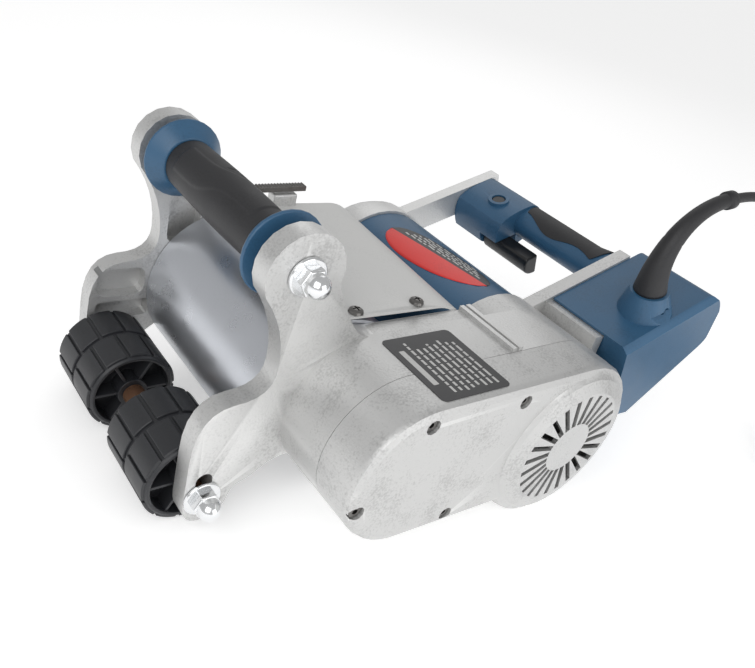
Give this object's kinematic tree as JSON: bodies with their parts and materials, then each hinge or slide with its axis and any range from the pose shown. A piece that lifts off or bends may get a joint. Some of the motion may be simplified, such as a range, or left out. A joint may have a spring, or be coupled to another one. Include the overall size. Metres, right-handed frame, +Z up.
{
  "type": "wall chaser",
  "caption": "Hand-held wall chaser: guide wheels, guarded cutter between cast side plates, belt drive case, transverse motor, front grip, rear D-handle and mains lead.",
  "frame": {"origin": "middle of the tool's footprint without its lead, on the surface that it stands on", "axes": "-X is the front with the wheels and the front grip, -Y the side of the drive case, +Z up"},
  "size_m": [0.6775, 0.4609, 0.2531],
  "materials": {
    "cast_silver": "sand-textured cast aluminium with a satin silver finish",
    "sheet_silver": "smooth rolled sheet",
    "cover_grey": "smooth light grey paint",
    "tool_blue": "fine-grained moulded plastic, steel blue",
    "black_rubber": "matt moulded rubber",
    "black_plastic": "satin moulded plastic",
    "wheel_plastic": "moulded tread, satin",
    "zinc_plate": "bright zinc plate",
    "dark_steel": "blackened steel",
    "brown_steel": "bare steel with a brown film",
    "blade_steel": "ground steel",
    "copper": "copper"
  },
  "bodies": {
    "chassis": {"gearbox_housing": "cast_silver", "far_side_plate": "cast_silver", "gearbox_cover": "cast_silver", "motor_end_bell": "cast_silver", "blade_guard": "sheet_silver", "top_cover": "cover_grey", "motor_housing": "tool_blue", "grip_flange_near": "tool_blue", "grip_flange_far": "tool_blue", "controller_box": "tool_blue", "d_handle": "tool_blue", "front_grip": "black_rubber", "strain_relief": "black_rubber", "drive_belt": "black_rubber", "mains_lead": "black_rubber", "mains_lead_coil": "black_rubber", "mains_plug": "black_plastic", "switch_block": "black_plastic", "grip_rod": "zinc_plate", "grip_nut_near": "zinc_plate", "grip_nut_far": "zinc_plate", "rotor_bearing_near": "zinc_plate", "rotor_bearing_far": "zinc_plate", "cutter_bearing_near": "zinc_plate", "cutter_bearing_far": "zinc_plate", "speed_controller": "copper", "field_stator": "dark_steel", "brush_front": "dark_steel", "brush_rear": "dark_steel", "cover_screw_top_front": "dark_steel", "cover_screw_nose": "dark_steel", "cover_screw_top_rear": "dark_steel", "cover_screw_bottom": "dark_steel", "top_cover_screw_front": "dark_steel", "top_cover_screw_rear": "dark_steel"},
    "wheel_carriage": {"wheel_axle": "brown_steel", "axle_nut_near": "zinc_plate", "axle_nut_far": "zinc_plate", "axle_sleeve": "brown_steel"},
    "wheel_near": {"guide_wheel_near": "wheel_plastic"},
    "wheel_far": {"guide_wheel_far": "wheel_plastic"},
    "cutter": {"cutter_shaft": "dark_steel", "driven_pulley": "dark_steel", "diamond_blade_1": "blade_steel", "diamond_blade_2": "blade_steel", "diamond_blade_3": "blade_steel", "blade_spacer_1": "dark_steel", "blade_spacer_2": "dark_steel", "blade_flange_near": "dark_steel", "blade_nut": "dark_steel"},
    "rotor": {"rotor_shaft": "dark_steel", "armature": "dark_steel", "commutator": "copper", "drive_pulley": "dark_steel", "cooling_fan": "black_plastic"},
    "trigger": {"trigger": "black_plastic"},
    "lock_button": {"lock_button": "black_plastic"}
  },
  "joints": [
    {"name": "wheel_height", "type": "slide", "parent": "chassis", "child": "wheel_carriage", "axis": [0, 0, 1], "range_m": [0, 0.0135]},
    {"name": "near_wheel_spin", "type": "hinge", "parent": "wheel_carriage", "child": "wheel_near", "pos_m": [-0.1994, 0.03305, 0.033], "axis": [0, 1, 0], "continuous": true},
    {"name": "far_wheel_spin", "type": "hinge", "parent": "wheel_carriage", "child": "wheel_far", "pos_m": [-0.1994, 0.03305, 0.033], "axis": [0, 1, 0], "continuous": true},
    {"name": "cutter_spin", "type": "hinge", "parent": "chassis", "child": "cutter", "pos_m": [-0.0979, 0.03305, 0.0824], "axis": [0, 1, 0], "continuous": true},
    {"name": "rotor_spin", "type": "hinge", "parent": "chassis", "child": "rotor", "pos_m": [0.0541, 0.03305, 0.0685], "axis": [0, 1, 0], "continuous": true},
    {"name": "trigger_pull", "type": "slide", "parent": "chassis", "child": "trigger", "axis": [0.9511, 0, 0.309], "range_m": [0, 0.005], "stiffness_N_per_m": 600},
    {"name": "lock_button_press", "type": "slide", "parent": "chassis", "child": "lock_button", "axis": [0.309, 0, -0.9511], "range_m": [0, 0.0025], "stiffness_N_per_m": 400}
  ],
  "couplings": [
    {"joint": "rotor_spin", "follows": "cutter_spin", "ratio": 1.7647}
  ]
}
